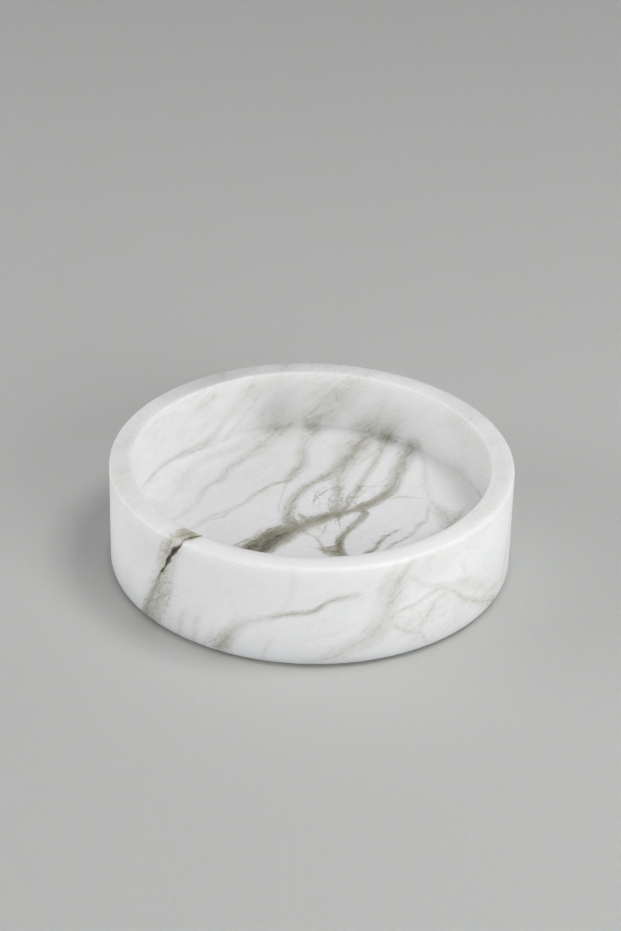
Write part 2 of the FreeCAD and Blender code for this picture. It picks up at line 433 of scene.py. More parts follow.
        (110, 25.2, .8, .16), (107.5, 28.5, .8, .1), (106, 31, .65, 0),
    ])],
    "left_faint": [("floor", [
        (-52, 12, .55, .08), (-49.5, 14, .7, .13), (-47, 16, .8, .17), (-45, 18.6, .9, .19),
        (-43.4, 21.6, .9, .19),
    ])],
    "wall_left": [("inside", [
        (141, 22, .95, .03), (137.5, 24.6, 1.3, .13), (134.5, 26.4, 1.4, .18), (132, 27.6, 1.6, .21),
        (129.6, 28.8, 1.4, .22), (127.4, 30.2, 1.4, .13), (124.6, 30.8, 1.2, .14), (122.4, 31.4, 1.2, .13),
        (120.6, 32.8, 1.4, .12), (119, 34.4, 1.6, .12),
    ]), ("rim", [
        (119.5, 62, 1.6, .16),
    ]), ("outside", [
        (120, 34, 1.6, .34), (121, 30, 1.4, .31), (123, 22, 1.4, .26), (126, 12, 1.3, .26),
        (128, 3, 1.2, .22),
    ])],
    "wall_middle": [("inside", [
        (97, 21.4, .95, .1), (95, 22.6, 1.3, .17), (93, 24.2, 1.4, .18), (91, 26, 1.4, .2),
        (89, 27.6, 1.4, .2), (87, 29.3, 1.3, .18), (85, 30.5, 1.1, .17), (83, 31.4, .95, .07),
    ])],
    "front_a": [("outside", [
        (239.2, 14, .6, .05), (238.6, 11, .95, .22), (238, 8, 1.1, .27), (237.4, 4.6, 1.1, .31),
        (237, 1, 1.1, .31),
    ])],
    "front_diagonal": [("outside", [
        (285.5, 25.4, .5, .11), (282, 24.8, .85, .31), (278.4, 24.2, .95, .37), (275.4, 23.2, .95, .41),
        (273.8, 21.6, .85, .41), (272.2, 20.2, .85, .41), (269.2, 19.1, .85, .39), (266.2, 18.8, .95, .39),
        (263, 18, 1, .39), (259.6, 16.4, 1.2, .39), (256, 14.8, 1.5, .34), (253, 13.4, 1.9, .36),
        (250.6, 11, 2.2, .4), (248.6, 8, 2.6, .43), (246.6, 4.6, 2.8, .45), (244.8, 1.6, 2.9, .45),
    ]), ("base", [
        (-26, -56, 1.7, .36), (-20, -46, 1.5, .34), (-9, -31, 1.3, .3), (5, -13, 1.1, .27), (19, 4, 1, .22),
        (33, 21, .8, .1),
    ])],
    "front_b": [("outside", [
        (250.4, 11.5, 1.1, .26), (250, 15.4, 1.1, .22), (249.3, 19, .95, .17), (248, 23.4, .85, .12),
        (247, 28, .7, 0),
    ])],
    "front_c": [("rim", [
        (266, 59, 1, .07), (265.8, 63, 1.2, .15),
    ]), ("outside", [
        (265.6, 34, 1.1, .19), (265.8, 30.5, 1.2, .23), (265.2, 26.4, 1.2, .24), (264.2, 22.4, 1.2, .24),
        (263.2, 19.2, 1.2, .26),
    ])],
    "front_d": [("outside", [
        (263.6, 8.2, .5, .09), (261, 8.6, .5, .19), (259.4, 7, .55, .24), (258.6, 4.6, .6, .26),
        (257.8, 1.4, .6, .26),
    ])],
    "broad": [("rim", [
        (299.5, 60, 1, .11), (299.2, 63.2, 1, .15),
    ]), ("outside", [
        (298.8, 34, 1.1, .25), (297.2, 31.8, 1.1, .29), (296, 29.6, 1.2, .26), (294.8, 27, 2.2, .29),
        (293.6, 24.4, 3.1, .32), (292.4, 21, 3.3, .33), (291.6, 17.4, 3.1, .33), (290.4, 13.6, 3.1, .34),
        (288.2, 10.4, 3.1, .37), (285, 7.8, 2.8, .38), (281.8, 5.8, 2.5, .38), (278.4, 3.9, 2.3, .38),
        (274.6, 2.4, 2.2, .34), (270.5, .8, 2, .32),
    ]), ("base", [
        (1, -61, 1.5, .32), (8, -52, 1.4, .32), (20, -36, 1.3, .3), (33, -19, 1.1, .27), (46, 1, 1, .22),
        (55, 14, .8, .1),
    ])],
    "broad_shade": [("outside", [
        (294.2, 34.4, 1.2, .17), (293, 31.4, 1.3, .22), (291.4, 28, 1.6, .23), (289.6, 24.6, 1.8, .22),
        (288.4, 20, 1.8, .19), (287.6, 15.4, 1.7, .19), (287, 12, 1.6, .17),
    ])],
    "broad_left": [("outside", [
        (283.4, 14.2, .95, .09), (280.4, 13.6, 1.1, .17), (278, 12, 1.1, .19), (275.4, 10.6, .95, .17),
        (272, 10, .85, .07),
    ])],
    "broad_low": [("outside", [
        (284, 11, .7, .12), (280.5, 9, .95, .19), (277, 7.2, .95, .17), (273.4, 5, .95, .17),
        (270, 3, .95, .17), (267, 1.6, .85, .1),
    ])],
    "right_wave": [("outside", [
        (291.8, 12.2, .6, .24), (292.8, 14.2, .6, .33), (294, 15.8, .6, .33), (296.4, 16.8, .6, .33),
        (299.4, 17.2, .6, .31), (302.4, 18.4, .6, .31), (305.2, 19.8, .7, .33), (308, 20.2, .85, .33),
        (310.4, 19.4, .85, .33), (312.4, 17.8, .7, .26), (314.4, 15.9, .7, .27), (316.2, 13.6, .7, .29),
        (318.2, 11.4, .7, .29), (320.6, 9.8, .8, .29), (323, 8.2, .9, .29), (325.4, 6.2, 1.2, .33),
        (328.4, 4.6, 1.6, .35), (331.4, 3, 1.8, .36), (334, 1.2, 1.8, .35),
    ]), ("base", [
        (55, -27, 1.6, .3), (47, -18, 1.4, .28), (34, -4, 1.2, .25), (18, 11, .95, .2), (3, 26, .75, .09),
    ])],
    "right_upper": [("outside", [
        (310.6, 20.8, .7, .26), (307.6, 21.6, .85, .27), (305, 22.2, .85, .26), (302.4, 24, .85, .22),
        (299.8, 26.4, .85, .19), (297.6, 28.6, .7, .17),
    ])],
    "right_soft": [("outside", [
        (311, 19.4, .95, .26), (314, 19.4, 1.3, .23), (317, 18.8, 1.6, .23), (320, 17, 1.7, .22),
        (323.4, 14.4, 1.7, .2), (327, 11, 1.7, .19), (330, 8, 1.6, .22),
    ])],
    "right_a": [("outside", [
        (291.8, 13.6, .5, .23), (293.4, 12.2, .5, .27), (295.2, 10.4, .5, .24), (297.2, 8.7, .5, .23),
        (299.4, 7.4, .5, .23), (301.6, 6.6, .6, .23), (303.4, 4.6, .7, .22), (304.4, 2, .7, .15),
    ])],
    "right_b": [("outside", [
        (312, 17.6, .6, .22), (309.6, 17.2, .6, .23), (307.4, 16.2, .6, .23), (305.8, 13.8, .6, .24),
        (304.2, 11.2, .6, .24), (302.6, 8.8, .6, .23), (301.8, 6, .6, .21), (301.4, 3.4, .6, .11),
    ])],
    "right_c": [("outside", [
        (318.2, 20, .5, .12), (317.4, 22.6, .55, .19), (316.2, 25.2, .55, .19), (314.8, 27, .5, .09),
    ])],
    "right_d": [("outside", [
        (326, 6.4, 1.2, .22), (330, 6.6, 1.6, .23), (334, 6.2, 1.7, .26), (338, 5.4, 1.7, .23),
        (342, 4.6, 1.4, .19), (347, 4, 1.2, .08),
    ])],
    "east_a": [("outside", [
        (352, 34, .95, .22), (350, 28, 1.2, .27), (347, 20, 1.4, .3), (345, 12, 1.2, .26),
        (342, 6, 1.2, .26),
    ])],
    "east_b": [("outside", [
        (15, 33, 1.1, .17), (12, 26, 1.3, .24), (8, 18, 1.4, .26), (3, 9, 1.4, .26), (-2, 1, 1.3, .26),
    ])],
    "east_c": [("outside", [
        (35, 34, .95, .12), (33, 25, 1.2, .24), (29, 15, 1.3, .26), (25, 5, 1.3, .26), (23, .5, 1.2, .26),
    ])],
    "west_a": [("outside", [
        (150, 33, .95, .12), (153, 26, 1.1, .22), (157, 17, 1.2, .23), (160, 8, 1.2, .23),
        (162, 1, 1.2, .22),
    ])],
    "west_b": [("outside", [
        (175, 34, .7, .12), (178, 27, .95, .22), (182, 19, 1.1, .23), (185, 11, 1.1, .22),
        (187, 3, 1.1, .22),
    ]), ("base", [
        (-60, -8, 1, .2), (-50, -1, 1, .2), (-36, 12, .9, .2), (-22, 28, .8, .18), (-10, 44, .7, .1),
    ])],
    "west_c": [("outside", [
        (135, 22, .5, .17), (141, 20, .5, .26), (148, 18.5, .5, .26), (155, 19.5, .5, .26),
        (162, 17, .5, .12),
    ])],
    "front_e": [("outside", [
        (234.4, 13, .7, .06), (233.6, 9.5, .9, .2), (232.6, 5.5, 1, .26), (231.8, 1, 1, .3),
    ])],
    "front_f": [("outside", [
        (244.6, 11.5, .5, .05), (243.4, 8.4, .8, .2), (242.4, 5.2, 1, .27), (241.2, 2.6, 1.1, .3),
        (240.6, .6, 1.1, .3),
    ])],
    "front_g": [("outside", [
        (252, 4.6, .5, .08), (249.4, 5.8, .7, .2), (246.8, 6.2, .8, .24), (244.4, 5.4, .8, .22),
        (242.2, 4.2, .6, .12),
    ])],
}

# Broad soft clouds where the stone is greyer or whiter, placed and adjusted in renders: some are the
# stone's own tone, most are painted light and shade. They are whiter over much of the floor, most where
# the walls shade it and in the corner at the back right, on the outer wall and at the front of the rim,
# and greyer on the back and sides of the rim and on the inner wall turned from the key light. Face,
# first and second as in VEINS, radius in millimetres, and darkness, below zero where it is whiter
TONE_AND_PAINTED_LIGHT_CLOUDS = {
    "floor_right": ("floor", 38, 6, 22, -.55),
    "floor_far_right": ("floor", 52, 14, 12, -.3),
    "floor_back_right": ("floor", 43, 35, 12, -.4),
    "floor_front_right": ("floor", 22, -24, 12, -.2),
    "floor_front": ("floor", -2, -26, 14, -.25),
    "floor_middle": ("floor", -6, 12, 20, -.15),
    "floor_left": ("floor", -34, -4, 22, -.25),
    "wall_left": ("inside", 150, 25, 22, .15),
    "wall_back_left": ("inside", 120, 26, 22, .05),
    "wall_back_patch": ("inside", 101, 26, 8, .22),
    "wall_back_foot": ("inside", 104, 19, 7, .25),
    "wall_back_streak": ("inside", 83, 24, 6, .15),
    "wall_right": ("inside", 44, 25, 16, -.18),
    "wall_foot_right": ("inside", 48, 17, 14, -.3),
    "wall_far_right": ("inside", 8, 25, 22, .24),
    "rim_left": ("rim", 180, 61, 24, .28),
    "rim_front": ("rim", 270, 61, 24, -.5),
    "rim_front_left": ("rim", 240, 61, 20, -.2),
    "rim_front_right": ("rim", 304, 61, 22, -.45),
    "rim_right": ("rim", 0, 61, 24, .25),
    "rim_back_left": ("rim", 125, 61, 26, .66),
    "rim_back": ("rim", 90, 61, 20, .24),
    "outside_left": ("outside", 200, 18, 26, -.4),
    "outside_left_front": ("outside", 241, 18, 20, -.45),
    "outside_front": ("outside", 268, 22, 20, -.4),
    "outside_right_front": ("outside", 305, 18, 18, -.1),
    "outside_right": ("outside", 345, 22, 24, -.25),
}

# Places where the stone is crazed with hairlines: the face, the same two numbers, the radius in mm
# and the strength of the net at the middle
CRAZED = {
    "between_fork_and_band": ("floor", 3.5, 11.5, 7.5, .55),
    "beside_trunk": ("floor", 13.5, 8, 5, .4),
    "above_patch": ("floor", 8, -9, 6.5, .45),
    "front_right": ("floor", 25, -13, 9, .4),
    "right": ("floor", 36, -4, 8, .3),
    "behind_trunk": ("floor", 19, 17, 6, .35),
    "left_of_fork": ("floor", -14, 6, 8, .3),
    "below_left": ("floor", -24, -6, 9, .2),
    "outside_right": ("outside", 304, 12, 10, .25),
}

# The natural fissure that the seam opens into at the left front, as read: degrees, and height and
# half width in millimetres. It is cut into the mesh where that lies on the outer wall
FISSURE = [
    (231.6, 32.4, .1), (230.7, 31.2, .48), (229.8, 29.6, .42), (229, 28.2, .24), (228.3, 26.6, .44),
    (227.5, 24.8, .34), (226.8, 22.8, .1), (226, 21.4, .22), (225.2, 20, .1),
]
FISSURE_DEPTH = 1.1 * MM
FISSURE_REACH = 1.5 * MM
FISSURE_REFINEMENTS = 3
WALL_TOLERANCE = 0.1 * MM
LEAST_HALF_WIDTH = 0.01 * MM


def ring_point(radius, degrees, height):
    """A point at a distance from the axis."""
    angle = math.radians(degrees)
    return (radius * math.cos(angle), radius * math.sin(angle), height)


def on_stone(face, first, second):
    """A vein point's place in metres on a face of the stone."""
    if face == "floor":
        return (first * MM, second * MM, FLOOR)
    if face == "base":
        return (first * MM, second * MM, BASE)
    if face == "inside":
        return ring_point(INNER_RADIUS, first, BASE + second * MM)
    if face == "outside":
        return ring_point(OUTER_RADIUS, first, BASE + second * MM)
    return ring_point(second * MM, first, RIM)


def face_numbers(places):
    """Which of the stone's faces each place is on, as a number in the order of FACES."""
    radius = np.hypot(places[:, 0], places[:, 1])
    height = places[:, 2]
    tests = [
        height < BASE + BASE_EDGE_ROUND / 2,
        height > RIM - RIM_INNER_ROUND / 2,
        radius > (INNER_RADIUS + OUTER_RADIUS) / 2,
        radius > INNER_RADIUS - FLOOR_CORNER_ROUND / 2,
    ]
    numbers = [FACES.index(face) for face in ("base", "rim", "outside", "inside")]
    return np.select(tests, numbers, FACES.index("floor"))


def smooth_route(points):
    """Points along a smooth curve through the given rows, by Catmull and Rom's formula."""
    padded = np.vstack([2 * points[0] - points[1], points, 2 * points[-1] - points[-2]])
    share = np.linspace(0, 1, ROUTE_STEPS, endpoint=False)[:, None]
    rows = []
    for before, here, there, after in zip(padded, padded[1:], padded[2:], padded[3:]):
        bend = 2 * before - 5 * here + 4 * there - after
        twist = 3 * (here - there) + after - before
        rows.append(here + 0.5 * share * (there - before + share * (bend + share * twist)))
    rows.append(points[-1:])
    return np.vstack(rows)


def vein_routes():
    """Each vein's route: rows of x, y, z, half width in metres, darkness, and the face's number."""
    routes = []
    for stretches in VEINS.values():
        rows = []
        for face, points in stretches:
            for first, second, half_width, darkness in points:
                place = on_stone(face, first, second)
                rows.append((*place, half_width * MM, darkness, FACES.index(face)))
        route = smooth_route(np.array(rows))
        route[:, 3:] = np.clip(route[:, 3:], 0, None)
        routes.append(route)
    return routes


def reach_of(route):
    """How far from its middle line a vein can colour the stone."""
    return VEIN_REACH * route[:, 3].max() + VEIN_MARGIN * MM


def gap_between(route, other):
    """The least distance between two routes' points."""
    return np.linalg.norm(route[:, None, :3] - other[None, :, :3], axis=2).min()


def sort_into_layers(routes):
    """Routes in layers, so that the veins of one layer don't reach each other."""
    layers = []
    for route in routes:
        for layer in layers:
            if all(gap_between(route, other) > reach_of(route) + reach_of(other) for other in layer):
                layer.append(route)
                break
        else:
            layers.append([route])
    return layers


def within(places, route, reach):
    """Numbers of the places in the box round a route."""
    low = route[:, :3].min(axis=0) - reach
    high = route[:, :3].max(axis=0) + reach
    return np.flatnonzero(np.all((places > low) & (places < high), axis=1))


def nearest_on_route(places, normals, faces, route, reach):
    """Signed distance from each place to the route, and the half width and darkness there.

    A stretch of the route counts only on its own face and on those that meet it.
    """
    signed = np.full(len(places), reach)
    traits = np.zeros((len(places), 2))
    for first in range(0, len(route) - 1, ROUTE_STEPS):
        span = route[first:first + ROUTE_STEPS + 1]
        near = within(places, span, reach)
        for end_face in (span[0, 5], span[-1, 5]):
            near = near[np.abs(faces[near] - end_face) < NEXT_FACE]
        for start, end in zip(span, span[1:]):
            run = end[:3] - start[:3]
            offset = places[near] - start[:3]
            share = np.clip(offset @ run / (run @ run), 0, 1)
            distance = np.linalg.norm(offset - share[:, None] * run, axis=1)
            side = np.sign(np.einsum("ij,ij->i", np.cross(run, offset), normals[near]))
            nearer = distance < np.abs(signed[near])
            signed[near[nearer]] = (distance * side)[nearer]
            traits[near[nearer]] = (start[3:5] + share[:, None] * (end[3:5] - start[3:5]))[nearer]
    return signed, traits


def layer_field(places, normals, faces, layer):
    """One layer of veins as a vector for each place: distance and half width in mm, and darkness."""
    field = np.zeros((len(places), 3))
    field[:, 0] = FAR_AWAY
    for route in layer:
        reach = reach_of(route)
        near = within(places, route, reach)
        signed, traits = nearest_on_route(places[near], normals[near], faces[near], route, reach)
        fade = np.clip((1 - np.abs(signed) / reach) / VEIN_FADE, 0, 1)
        inside = fade > 0
        chosen = near[inside]
        field[chosen, 0] = signed[inside] / MM
        field[chosen, 1] = traits[inside, 0] / MM
        field[chosen, 2] = traits[inside, 1] * fade[inside]
    return field


def patch_field(patches, places, faces):
    """The strength of the soft patches at each place: each patch keeps to its own face."""
    field = np.zeros(len(places))
    for face, first, second, radius, strength in patches.values():
        distance = np.linalg.norm(places - on_stone(face, first, second), axis=1)
        fall = np.exp(-(distance / (radius * MM)) ** 2)
        field += strength * np.where(faces == FACES.index(face), fall, 0)
    return field


def of_points(mesh, trait):
    """A vector of each of a mesh's points, such as its place."""
    values = np.empty(3 * len(mesh.vertices))
    mesh.vertices.foreach_get(trait, values)
    return values.reshape(-1, 3)


def stain_with_veins(mesh):
    """Stores the clouds, mostly painted light and shade, the crazing and each layer of veins on the stone's
    mesh, and names the layers.
    """
    places = of_points(mesh, "co")
    normals = of_points(mesh, "normal")
    faces = face_numbers(places)
    # The clouds attribute holds mostly painted light and shade, with some of the stone's own tone
    for name, patches in {"clouds": TONE_AND_PAINTED_LIGHT_CLOUDS, "crazing": CRAZED}.items():
        attribute = mesh.attributes.new(name, "FLOAT", "POINT")
        attribute.data.foreach_set("value", patch_field(patches, places, faces))
    names = []
    for number, layer in enumerate(sort_into_layers(vein_routes())):
        attribute = mesh.attributes.new(f"veins_{number}", "FLOAT_VECTOR", "POINT")
        attribute.data.foreach_set("vector", layer_field(places, normals, faces, layer).ravel())
        names.append(attribute.name)
    return names


def turned_section(stone):
    """Half of the dish's section as a wire, its corners eased."""
    corners = [
        (0, BASE), (OUTER_RADIUS, BASE), (OUTER_RADIUS, RIM),
        (INNER_RADIUS, RIM), (INNER_RADIUS, FLOOR), (0, FLOOR),
    ]
    rounds = [BASE_EDGE_ROUND, RIM_OUTER_ROUND, RIM_INNER_ROUND, FLOOR_CORNER_ROUND]
    points = [stone.verts.new((radius, 0, height)) for radius, height in corners]
    for start, end in zip(points, points[1:]):
        stone.edges.new((start, end))
    for point, rounding in zip(points[1:-1], rounds):
        bmesh.ops.bevel(
            stone, geom=[point], offset=rounding, offset_type="OFFSET", affect="VERTICES",
            segments=ROUND_STEPS, profile=0.5, material=-1,
        )
    for edge in stone.edges[:]:
        middle = (edge.verts[0].co + edge.verts[1].co) / 2
        spacing = BASE_SPACING if middle.z == BASE else MESH_SPACING
        cuts = int(edge.calc_length() / spacing)
        if cuts:
            bmesh.ops.subdivide_edges(stone, edges=[edge], cuts=cuts)


def fissure_fall(places):
    """How deep the fissure is at each place, as a share of its full depth, and the distance to it."""
    rows = [(*on_stone("outside", degrees, up), half * MM, 0, 0) for degrees, up, half in FISSURE]
    route = smooth_route(np.array(rows))
    distance = np.full(len(places), FISSURE_REACH)
    depth = np.zeros(len(places))
    near = within(places, route, FISSURE_REACH)
    close = places[near]
    signed, traits = nearest_on_route(close, close, np.zeros(len(near)), route, FISSURE_REACH)
    distance[near] = np.abs(signed)
    share = np.clip(1 - distance[near] / np.maximum(traits[:, 0], LEAST_HALF_WIDTH), 0, 1)
    depth[near] = np.sqrt(share) * traits[:, 0] / route[:, 3].max()
    return depth, distance


def open_fissure(stone):
    """Refines the outer wall along the fissure and pushes the stone in there."""
    wall = OUTER_RADIUS - WALL_TOLERANCE
    for _ in range(FISSURE_REFINEMENTS):
        middles = np.array([(edge.verts[0].co + edge.verts[1].co) / 2 for edge in stone.edges])
        outer = np.hypot(middles[:, 0], middles[:, 1]) > wall
        _, distance = fissure_fall(middles)
        edges = stone.edges[:]
        near = [edges[i] for i in np.flatnonzero(outer & (distance < FISSURE_REACH))]
        bmesh.ops.subdivide_edges(stone, edges=near, cuts=1, use_grid_fill=True)
    depth, _ = fissure_fall(np.array([point.co for point in stone.verts]))
    for point, share in zip(stone.verts[:], depth):
        outward = Vector((point.co.x, point.co.y, 0))
        if share > 0 and outward.length > wall:
            point.co -= outward.normalized() * FISSURE_DEPTH * share


def make_piece(name, shape, material):
    """A finished, smooth-shaded piece from a bmesh."""
    mesh = bpy.data.meshes.new(name)
    shape.to_mesh(mesh)
    shape.free()
    mesh.shade_smooth()
    mesh.materials.append(material)
    piece = bpy.data.objects.new(name, mesh)
    bpy.context.scene.collection.objects.link(piece)
    return piece


def alabaster_dish():
    """The stone: its section spun about Z, with the open fissure and the veins."""
    stone = bmesh.new()
    turned_section(stone)
    bmesh.ops.spin(
        stone, geom=stone.verts[:] + stone.edges[:], cent=(0, 0, 0), axis=(0, 0, 1),
        angle=FULL_TURN, steps=STEPS_AROUND, use_merge=True,
    )
    bmesh.ops.remove_doubles(stone, verts=stone.verts[:], dist=MERGE_DISTANCE)
    bmesh.ops.recalc_face_normals(stone, faces=stone.faces[:])
    open_fissure(stone)
    material = bpy.data.materials.new("veined_alabaster")
    piece = make_piece("alabaster_dish", stone, material)
    layer_names = stain_with_veins(piece.data)
    alabaster(material, layer_names)
    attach(piece, "root")
    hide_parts("dish_body")


def connect(tree, node, inputs):
    """Sets a node's inputs, or links them to other nodes' sockets."""
    for name, value in inputs.items():
        if isinstance(value, bpy.types.NodeSocket):
            tree.links.new(value, node.inputs[name])
        else:
            node.inputs[name].default_value = value


def add(tree, kind, inputs=None, **settings):
    """A shader node with its settings, and its inputs set or linked."""
    made = tree.nodes.new(kind)
    for name, value in settings.items():
        setattr(made, name, value)
    connect(tree, made, inputs or {})
    return made


def sums(tree, operation, *values):
    """The result of a Math node."""
    return add(tree, "ShaderNodeMath", dict(enumerate(values)), operation=operation).outputs[0]


def times(tree, first, second):
    """One value times another."""
    return sums(tree, "MULTIPLY", first, second)


def linear(tree, value, factor, addend):
    """A value times a factor, and another added to it."""
    return sums(tree, "MULTIPLY_ADD", value, factor, addend)


def gap(tree, first, second):
    """How far apart two values are."""
    return sums(tree, "ABSOLUTE", sums(tree, "SUBTRACT", first, second))


def noise(tree, place, scale, detail, roughness):
    """The outputs of a Noise Texture node on the given coordinates."""
    inputs = {"Vector": place, "Scale": scale, "Detail": detail, "Roughness": roughness}
    return add(tree, "ShaderNodeTexNoise", inputs).outputs


def ranged(tree, value, low, high, to_low=0.0, to_high=1.0, curve="SMOOTHSTEP"):
    """A value carried from one range to another, and held at its ends."""
    inputs = {"Value": value, "From Min": low, "From Max": high, "To Min": to_low, "To Max": to_high}
    made = add(tree, "ShaderNodeMapRange", inputs, interpolation_type=curve, clamp=True)
    return made.outputs["Result"]


def ranged_noise(tree, place, texture, span, curve="SMOOTHSTEP"):
    """A noise carried to another range."""
    return ranged(tree, noise(tree, place, *texture)["Fac"], *span, curve=curve)


def blended(tree, share, first, second):
    """A value between two others."""
    return add(tree, "ShaderNodeMix", {0: share, 2: first, 3: second}, data_type="FLOAT").outputs[0]


def ramp(tree, value, stops):
    """A colour read off a ramp of (position, colour) stops."""
    made = add(tree, "ShaderNodeValToRGB", {"Fac": value})
    elements = made.color_ramp.elements
    while len(elements) < len(stops):
        elements.new(1.0)
    for element, (position, colour) in zip(elements, stops):
        element.position = position
        element.color = (*colour, 1.0)
    return made.outputs["Color"]


def millimetres(tree):
    """Object coordinates in millimetres."""
    place = add(tree, "ShaderNodeTexCoord").outputs["Object"]
    return add(tree, "ShaderNodeVectorMath", {0: place, "Scale": 1 / MM}, operation="SCALE").outputs[0]


def drawn_out(tree, place, streak):
    """Coordinates stretched along the stone's bedding."""
    inputs = {"Vector": place, "Rotation": BEDDING_TURN, "Scale": streak}
    return add(tree, "ShaderNodeMapping", inputs, vector_type="TEXTURE").outputs[0]


def stored(tree, name, output="Fac"):
    """What the mesh stores under a name."""
    return add(tree, "ShaderNodeAttribute", attribute_name=name).outputs[output]


def about_zero(tree, place, texture):
    """A noise colour's three channels as values about zero."""
    channels = add(tree, "ShaderNodeSeparateColor", {0: noise(tree, place, *texture)["Color"]})
    return [sums(tree, "SUBTRACT", channel, NOISE_MIDDLE) for channel in channels.outputs]


def vein_band_group():
    """Shader group: one layer of veins, smoky at the edges and threaded inside, as a stain."""
    group = bpy.data.node_groups.new("vein_band", "ShaderNodeTree")
    group.interface.new_socket("Field", in_out="INPUT", socket_type="NodeSocketVector")
    for name in ("Sway", "Swell", "Depth", "Fray", "Thread", "Fibre", "Mottle"):
        group.interface.new_socket(name, in_out="INPUT", socket_type="NodeSocketFloat")
    for name in ("Stain", "Near"):
        group.interface.new_socket(name, in_out="OUTPUT", socket_type="NodeSocketFloat")
    given = group.nodes.new("NodeGroupInput").outputs
    result = group.nodes.new("NodeGroupOutput")
    distance, half_width, darkness = add(group, "ShaderNodeSeparateXYZ", {0: given["Field"]}).outputs
    firm = ranged(group, darkness, *FIRM_VEINS)
    crisp = ranged(group, darkness, *CRISP_VEINS)
    calm = ranged(group, darkness, *CALM_VEINS)

    # The middle line wanders, and the band swells and narrows
    sway = times(group, given["Sway"], calm)
    strayed = linear(group, sway, linear(group, half_width, *SWAY_REACH), distance)
    frayed = linear(group, given["Fray"], linear(group, half_width, *FRAY_REACH), strayed)
    middle = linear(group, given["Mottle"], times(group, half_width, RAGGED_SHARE), frayed)
    swell = linear(group, given["Swell"], times(group, calm, SWELL), FULLNESS)
    width = times(group, half_width, swell)
    away = sums(group, "ABSOLUTE", middle)

    # Body of the band, soft where it is pale and firmer where it is dark, drawn out into fibres
    outer_share, inner_share = [
        blended(group, crisp, blended(group, firm, if_pale, if_firm), if_crisp)
        for if_pale, if_firm, if_crisp in (OUTER_SHARES, INNER_SHARES)
    ]
    outer = linear(group, width, outer_share, OUTER_MARGIN)
    inner = times(group, width, inner_share)
    fibres = linear(group, given["Fibre"], FIBRE_STRENGTH, 1.0)
    mottle = linear(group, given["Mottle"], blended(group, crisp, *MOTTLE_STRENGTHS), fibres)
    body = times(group, ranged(group, away, outer, inner), mottle)

    # Dark threads along both edges, and one that wanders between them
    fine = linear(group, half_width, *THREAD_BREADTH)
    edge_place = times(group, width, linear(group, given["Thread"], *EDGE_THREADS))
    edges = ranged(group, gap(group, away, edge_place), fine, 0.0)
    path = times(group, given["Depth"], times(group, half_width, CORE_WANDER))
    core = ranged(group, gap(group, middle, path), fine, 0.0)
    strength = blended(group, crisp, *THREAD_STRENGTHS)
    patchy = ranged(group, given["Fray"], *THREAD_PATCHES, 0.0, strength)
    threads = times(group, sums(group, "MAXIMUM", edges, core), patchy)

    # A soft halo, and all of it by the vein's darkness
    halo_end = linear(group, half_width, *HALO_REACH)
    halo_strength = linear(group, given["Swell"], *HALO_STRENGTH)
    halo = ranged(group, away, halo_end, 0.0, 0.0, halo_strength)
    whole = sums(group, "ADD", sums(group, "ADD", threads, body), halo)
    uneven = linear(group, given["Depth"], times(group, calm, UNEVENNESS), 1.0)
    depth = times(group, uneven, ranged(group, half_width, *THIN_VEINS))
    stain = times(group, whole, times(group, darkness, depth))
    near = times(group, ranged(group, away, halo_end, 0.0), darkness)
    connect(group, result, {"Stain": stain, "Near": near})
    return group


def veins_together(tree, layer_names, slow, quick, fibrous, grain):
    """The stain of all the layers of veins, and how near the veins are."""
    band = vein_band_group()
    found = []
    for number, name in enumerate(layer_names):
        turn = number % CHANNELS
        given = {
            "Field": stored(tree, name, "Vector"),
            "Sway": slow[turn],
            "Swell": slow[turn - 1],
            "Depth": slow[turn - 2],
            "Fray": quick[turn],
            "Thread": quick[turn - 1],
            "Fibre": fibrous[turn],
            "Mottle": grain[turn],
        }
        found.append(add(tree, "ShaderNodeGroup", given, node_tree=band).outputs)
    stain = found[0]["Stain"]
    near = found[0]["Near"]
    for layer in found[1:]:
        stain = sums(tree, "SMOOTH_MAX", stain, layer["Stain"], VEIN_MELD)
        near = sums(tree, "MAXIMUM", near, layer["Near"])
    return stain, near


def wisps(tree, place, texture, darkness):
    """Faint lines where a noise passes through its middle value."""
    away = sums(tree, "ABSOLUTE", about_zero(tree, place, texture)[0])
    return ranged(tree, away, WISP_BREADTH, 0.0, 0.0, darkness)


def crackle(tree, place):
    """A net of hairlines, bent and of uneven strength."""
    bending = {0: noise(tree, place, *CRACK_BEND_NOISE)["Color"], 1: CRACK_BEND, 2: place}
    bent = add(tree, "ShaderNodeVectorMath", bending, operation="MULTIPLY_ADD").outputs[0]
    net = {"Vector": bent, "Scale": CRACK_SCALE}
    cells = add(tree, "ShaderNodeTexVoronoi", net, feature="DISTANCE_TO_EDGE")
    breadth = ranged_noise(tree, place, CRACK_BREADTH_NOISE, CRACK_BREADTH)
    return ranged(tree, cells.outputs["Distance"], breadth, 0.0)


def hairlines(tree, place, bedding, stain, near):
    """Wisps in patches, and the net where the stone is crazed and beside the veins."""
    patches = ranged_noise(tree, place, PATCH_NOISE, PATCHES)
    long_wisps = wisps(tree, bedding, LONG_WISP_NOISE, LONG_WISP_DARKNESS)
    short_wisps = wisps(tree, bedding, SHORT_WISP_NOISE, SHORT_WISP_DARKNESS)
    wisped = times(tree, sums(tree, "MAXIMUM", long_wisps, short_wisps), patches)
    beside_veins = times(tree, patches, ranged(tree, near, *NET_BESIDE_VEINS))
    net = sums(tree, "MAXIMUM", beside_veins, stored(tree, "crazing"))
    net = times(tree, net, ranged(tree, stain, *NET_IN_STAIN))
    return linear(tree, crackle(tree, place), net, wisped)


def principled(material):
    """A material's node tree and its shader."""
    material.use_nodes = True
    return material.node_tree, material.node_tree.nodes["Principled BSDF"]


